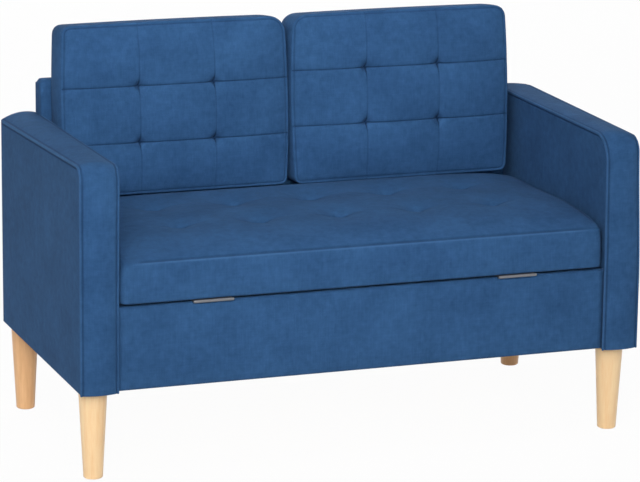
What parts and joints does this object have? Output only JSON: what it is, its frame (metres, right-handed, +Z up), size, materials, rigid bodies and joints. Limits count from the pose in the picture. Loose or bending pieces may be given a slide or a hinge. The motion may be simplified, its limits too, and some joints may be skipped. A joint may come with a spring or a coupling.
{
  "type": "storage sofa",
  "caption": "Compact storage sofa with boxed arms, loose tufted back cushions, tapered wooden legs and a tufted seat that lifts on front hinges over a storage box.",
  "frame": {"origin": "on the floor under the middle of the sofa", "axes": "+X to the right seen from the front, +Y to the back, +Z up"},
  "size_m": [1.17, 0.5959, 0.8109],
  "materials": {
    "upholstery": "blue short-pile woven cloth",
    "foam": "open-cell foam",
    "leg_wood": "clear satin lacquer on pale wood",
    "frame_timber": "sawn softwood",
    "plywood": "sanded plywood",
    "fibreboard": "smooth fibreboard",
    "hinge_steel": "zinc plated",
    "fastener_steel": "zinc plated"
  },
  "bodies": {
    "frame": {"back_bolts": "fastener_steel", "back_bottom_rail": "frame_timber", "back_centre_post": "frame_timber", "back_cover": "upholstery", "back_inserts": "fastener_steel", "back_left_post": "frame_timber", "back_panel": "fibreboard", "back_right_post": "frame_timber", "back_top_rail": "frame_timber", "corner_blocks": "frame_timber", "floor_bearers": "frame_timber", "front_left_leg": "leg_wood", "front_rail_board": "frame_timber", "front_rail_cover": "upholstery", "front_right_leg": "leg_wood", "hinge_frame_screws": "hinge_steel", "left_arm_bolts": "fastener_steel", "left_arm_bottom_rail": "frame_timber", "left_arm_cover": "upholstery", "left_arm_front_post": "frame_timber", "left_arm_inner_panel": "fibreboard", "left_arm_inserts": "fastener_steel", "left_arm_middle_rail": "frame_timber", "left_arm_outer_panel": "fibreboard", "left_arm_rear_post": "frame_timber", "left_arm_top_rail": "frame_timber", "left_hinge_frame_leaf": "hinge_steel", "left_hinge_pin": "hinge_steel", "left_side_board": "plywood", "leg_hanger_bolts": "fastener_steel", "leg_inserts": "fastener_steel", "rear_board": "plywood", "rear_left_leg": "leg_wood", "rear_right_leg": "leg_wood", "right_arm_bolts": "fastener_steel", "right_arm_bottom_rail": "frame_timber", "right_arm_cover": "upholstery", "right_arm_front_post": "frame_timber", "right_arm_inner_panel": "fibreboard", "right_arm_inserts": "fastener_steel", "right_arm_middle_rail": "frame_timber", "right_arm_outer_panel": "fibreboard", "right_arm_rear_post": "frame_timber", "right_arm_top_rail": "frame_timber", "right_hinge_frame_leaf": "hinge_steel", "right_hinge_pin": "hinge_steel", "right_side_board": "plywood", "storage_floor": "plywood"},
    "seat": {"seat_pad": "upholstery", "seat_board": "plywood", "seat_foam": "foam", "left_hinge_seat_leaf": "hinge_steel", "right_hinge_seat_leaf": "hinge_steel", "hinge_seat_screws": "hinge_steel"},
    "left_cushion": {"left_cushion_cover": "upholstery", "left_cushion_foam": "foam"},
    "right_cushion": {"right_cushion_cover": "upholstery", "right_cushion_foam": "foam"}
  },
  "joints": [
    {"name": "seat_hinge", "type": "hinge", "parent": "frame", "child": "seat", "pos_m": [0, -0.2875, 0.3487], "axis": [1, 0, 0], "range_deg": [0, 100]},
    {"name": "left_cushion_lift", "type": "slide", "parent": "seat", "child": "left_cushion", "axis": [0, 0.075, 0.9972], "range_m": [0, 0.3]},
    {"name": "right_cushion_lift", "type": "slide", "parent": "seat", "child": "right_cushion", "axis": [0, 0.075, 0.9972], "range_m": [0, 0.3]}
  ]
}
